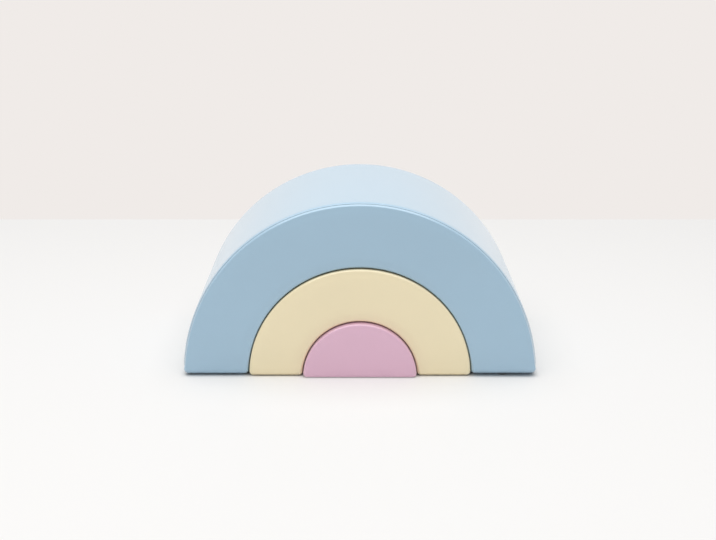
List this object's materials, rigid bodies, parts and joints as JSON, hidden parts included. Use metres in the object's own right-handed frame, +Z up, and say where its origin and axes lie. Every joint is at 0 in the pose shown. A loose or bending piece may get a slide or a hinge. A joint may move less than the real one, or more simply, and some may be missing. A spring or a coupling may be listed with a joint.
{
  "type": "soft play block",
  "caption": "Nesting rainbow soft play block: foam arches over a foam half-round, in sewn leather-cloth covers with zipped undersides, which slide out of each other for climbing and building.",
  "frame": {"origin": "middle of the set's footprint, on the floor, with the pieces nested", "axes": "+X to the right seen from the front, +Y to the rear along the tunnel, +Z up"},
  "size_m": [0.5998, 0.365, 0.3],
  "materials": {
    "blue_leather": "satin pastel blue leather-cloth",
    "yellow_leather": "satin pastel yellow leather-cloth",
    "pink_leather": "satin pastel pink leather-cloth",
    "foam": "cut open-cell foam",
    "zip_tape": "woven polyester tape",
    "zip_coil": "polyester coil",
    "zip_slider": "die-cast zinc"
  },
  "bodies": {
    "large_arch": {"large_arch_foam": "foam", "large_arch_front_panel": "blue_leather", "large_arch_inner_band": "blue_leather", "large_arch_left_foot": "blue_leather", "large_arch_outer_band": "blue_leather", "large_arch_rear_panel": "blue_leather", "large_arch_right_foot_inner_half": "blue_leather", "large_arch_right_foot_outer_half": "blue_leather", "large_arch_zip_coil_inner": "zip_coil", "large_arch_zip_coil_outer": "zip_coil", "large_arch_zip_tape_inner": "zip_tape", "large_arch_zip_tape_outer": "zip_tape"},
    "middle_arch": {"middle_arch_foam": "foam", "middle_arch_front_panel": "yellow_leather", "middle_arch_inner_band": "yellow_leather", "middle_arch_left_foot": "yellow_leather", "middle_arch_outer_band": "yellow_leather", "middle_arch_rear_panel": "yellow_leather", "middle_arch_right_foot_inner_half": "yellow_leather", "middle_arch_right_foot_outer_half": "yellow_leather", "middle_arch_zip_coil_inner": "zip_coil", "middle_arch_zip_coil_outer": "zip_coil", "middle_arch_zip_tape_inner": "zip_tape", "middle_arch_zip_tape_outer": "zip_tape"},
    "small_block": {"small_block_band": "pink_leather", "small_block_base_left_half": "pink_leather", "small_block_base_right_half": "pink_leather", "small_block_foam": "foam", "small_block_front_panel": "pink_leather", "small_block_rear_panel": "pink_leather", "small_block_zip_coil_left": "zip_coil", "small_block_zip_coil_right": "zip_coil", "small_block_zip_tape_left": "zip_tape", "small_block_zip_tape_right": "zip_tape"},
    "large_arch_zip_slider": {"large_arch_zip_slider": "zip_slider"},
    "middle_arch_zip_slider": {"middle_arch_zip_slider": "zip_slider"},
    "small_block_zip_slider": {"small_block_zip_slider": "zip_slider"}
  },
  "joints": [
    {"name": "middle_arch_slide", "type": "slide", "parent": "large_arch", "child": "middle_arch", "axis": [0, -1, 0], "range_m": [-0.37, 0.37]},
    {"name": "small_block_slide", "type": "slide", "parent": "middle_arch", "child": "small_block", "axis": [0, -1, 0], "range_m": [-0.37, 0.37]},
    {"name": "large_arch_zip", "type": "slide", "parent": "large_arch", "child": "large_arch_zip_slider", "axis": [0, 1, 0], "range_m": [0, 0.315], "deforming": ["large_arch_zip_coil_inner", "large_arch_zip_coil_outer"]},
    {"name": "middle_arch_zip", "type": "slide", "parent": "middle_arch", "child": "middle_arch_zip_slider", "axis": [0, 1, 0], "range_m": [0, 0.315], "deforming": ["middle_arch_zip_coil_inner", "middle_arch_zip_coil_outer"]},
    {"name": "small_block_zip", "type": "slide", "parent": "small_block", "child": "small_block_zip_slider", "axis": [0, 1, 0], "range_m": [0, 0.315], "deforming": ["small_block_zip_coil_left", "small_block_zip_coil_right"]}
  ]
}
